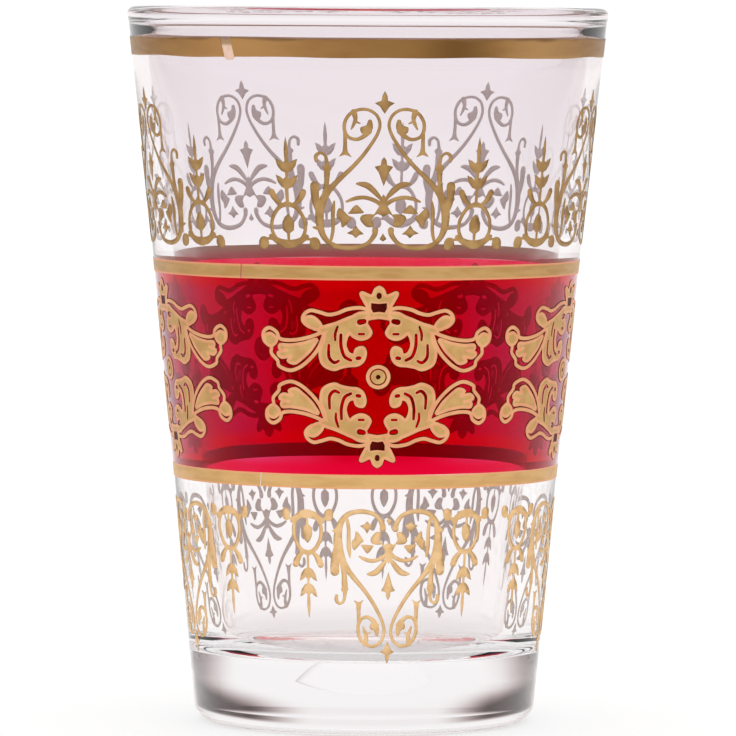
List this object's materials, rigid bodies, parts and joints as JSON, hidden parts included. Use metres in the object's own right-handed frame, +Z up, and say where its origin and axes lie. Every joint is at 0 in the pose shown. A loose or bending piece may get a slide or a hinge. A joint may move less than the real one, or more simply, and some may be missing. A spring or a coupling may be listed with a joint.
{
  "type": "moroccan tea glass",
  "caption": "Tapered clear tea glass with a heavy base, a ruby band between gold lines, a gold band under the rim and printed gold lace, for serving hot mint tea.",
  "frame": {"origin": "middle of the foot, on the surface that the glass stands on", "axes": "+Z up along the axis of the glass, -Y towards the front heart of the print, +X to its right"},
  "size_m": [0.0606, 0.0606, 0.09],
  "materials": {
    "clear_glass": "clear soda glass, fire polished",
    "ruby_stain": "see-through ruby red stain",
    "rim_gold": "fired liquid gold, half matt",
    "bright_gold": "fired gold, satin",
    "lace_gold": "fired gold print, satin"
  },
  "bodies": {
    "root": {"glass_body": "clear_glass", "rim_gold_band": "rim_gold", "upper_gold_line": "bright_gold", "ruby_band": "ruby_stain", "lower_gold_line": "bright_gold", "upper_heart_1": "lace_gold", "upper_heart_2": "lace_gold", "upper_heart_3": "lace_gold", "upper_heart_4": "lace_gold", "upper_heart_5": "lace_gold", "upper_sprig_left_1": "lace_gold", "upper_sprig_right_1": "lace_gold", "upper_sprig_left_2": "lace_gold", "upper_sprig_right_2": "lace_gold", "upper_sprig_left_3": "lace_gold", "upper_sprig_right_3": "lace_gold", "upper_sprig_left_4": "lace_gold", "upper_sprig_right_4": "lace_gold", "upper_sprig_left_5": "lace_gold", "upper_sprig_right_5": "lace_gold", "medallion_1": "bright_gold", "medallion_2": "bright_gold", "medallion_3": "bright_gold", "medallion_4": "bright_gold", "medallion_5": "bright_gold", "lower_heart_1": "lace_gold", "lower_heart_2": "lace_gold", "lower_heart_3": "lace_gold", "lower_heart_4": "lace_gold", "lower_heart_5": "lace_gold", "lower_pendant_left_1": "lace_gold", "lower_pendant_right_1": "lace_gold", "lower_pendant_left_2": "lace_gold", "lower_pendant_right_2": "lace_gold", "lower_pendant_left_3": "lace_gold", "lower_pendant_right_3": "lace_gold", "lower_pendant_left_4": "lace_gold", "lower_pendant_right_4": "lace_gold", "lower_pendant_left_5": "lace_gold", "lower_pendant_right_5": "lace_gold"}
  },
  "joints": []
}
